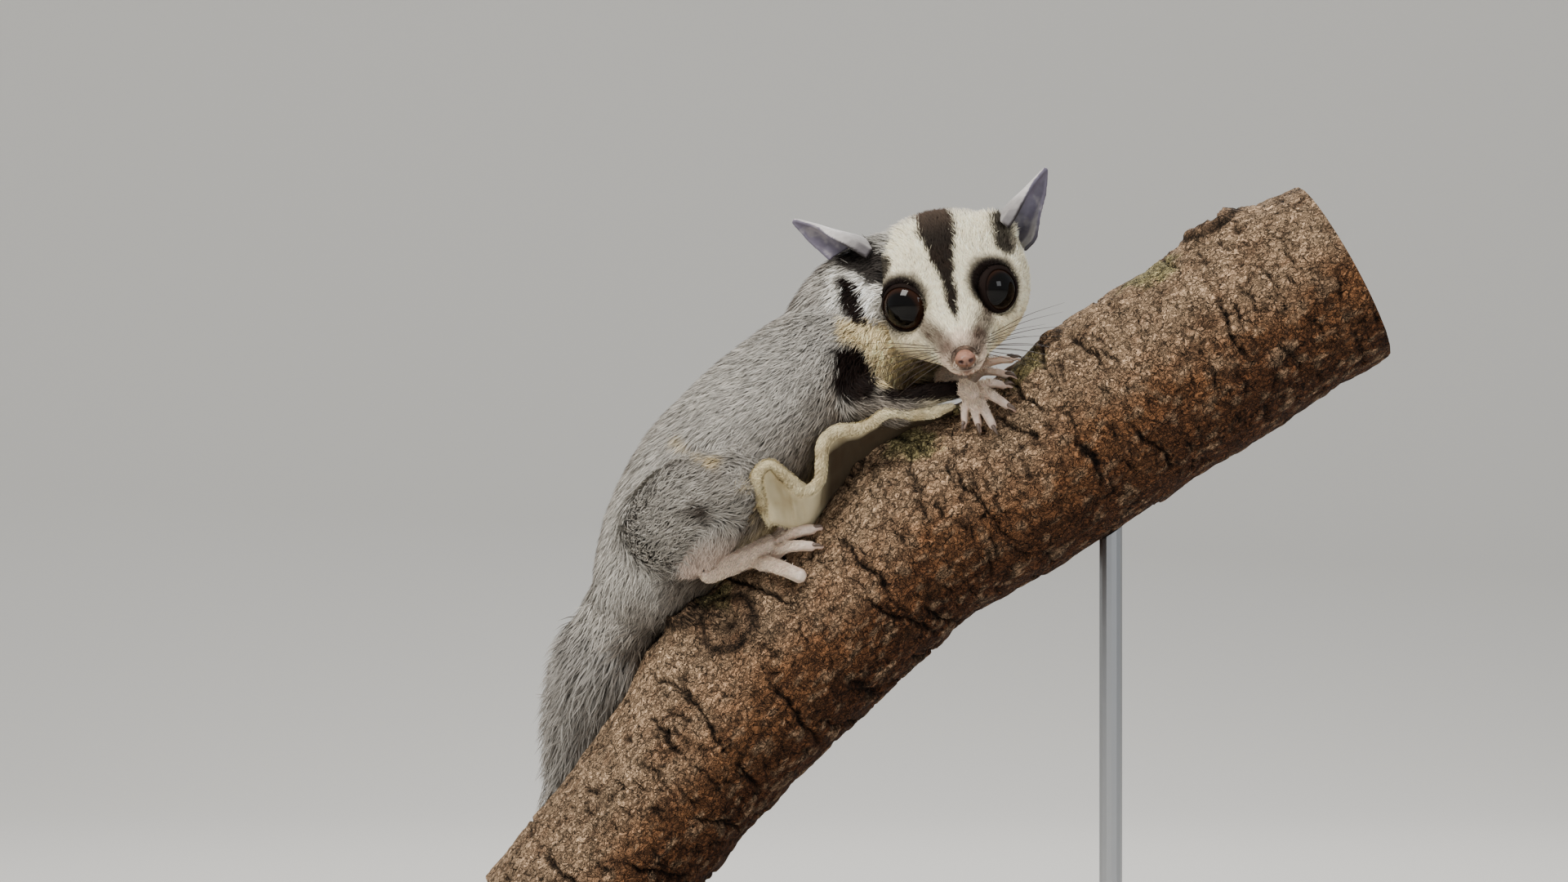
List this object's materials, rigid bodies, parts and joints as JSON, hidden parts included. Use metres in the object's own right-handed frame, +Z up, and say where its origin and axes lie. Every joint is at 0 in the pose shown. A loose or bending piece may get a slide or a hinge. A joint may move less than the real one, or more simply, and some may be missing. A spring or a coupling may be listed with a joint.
{
  "type": "sugar glider",
  "caption": "Small furry gliding possum gripping a slanting cut branch with its head turned to the side and its long bushy tail hanging, held up on a plain display stand.",
  "frame": {"origin": "middle of the underside of the stand's base, on the floor", "axes": "+Z up; +X the way the branch rises; the animal's face looks out along -Y"},
  "size_m": [0.19, 0.112, 0.2209],
  "materials": {
    "fur": "soft dense grey fur",
    "skin": "bare pinkish skin",
    "membrane": "short cream fur on a thin fold of skin",
    "eye": "wet glossy dark brown",
    "bark": "rough cracked bark",
    "plinth": "dark satin stain",
    "rod": "satin"
  },
  "bodies": {
    "root": {"branch": "bark", "ear_left": "skin", "ear_right": "skin", "eye_left": "eye", "eye_right": "eye", "foot_left": "skin", "foot_right": "skin", "foreleg_left_lower": "fur", "foreleg_left_upper": "fur", "foreleg_right_lower": "fur", "foreleg_right_upper": "fur", "hand_left": "skin", "hand_right": "skin", "head": "fur", "neck": "fur", "nose": "skin", "patagium_left": "membrane", "patagium_right": "membrane", "shank_left": "fur", "shank_right": "fur", "stand_base": "plinth", "stand_rod_front": "rod", "stand_rod_rear": "rod", "tail_1": "fur", "tail_2": "fur", "tail_3": "fur", "tail_4": "fur", "thigh_left": "fur", "thigh_right": "fur", "torso": "fur"}
  },
  "joints": []
}
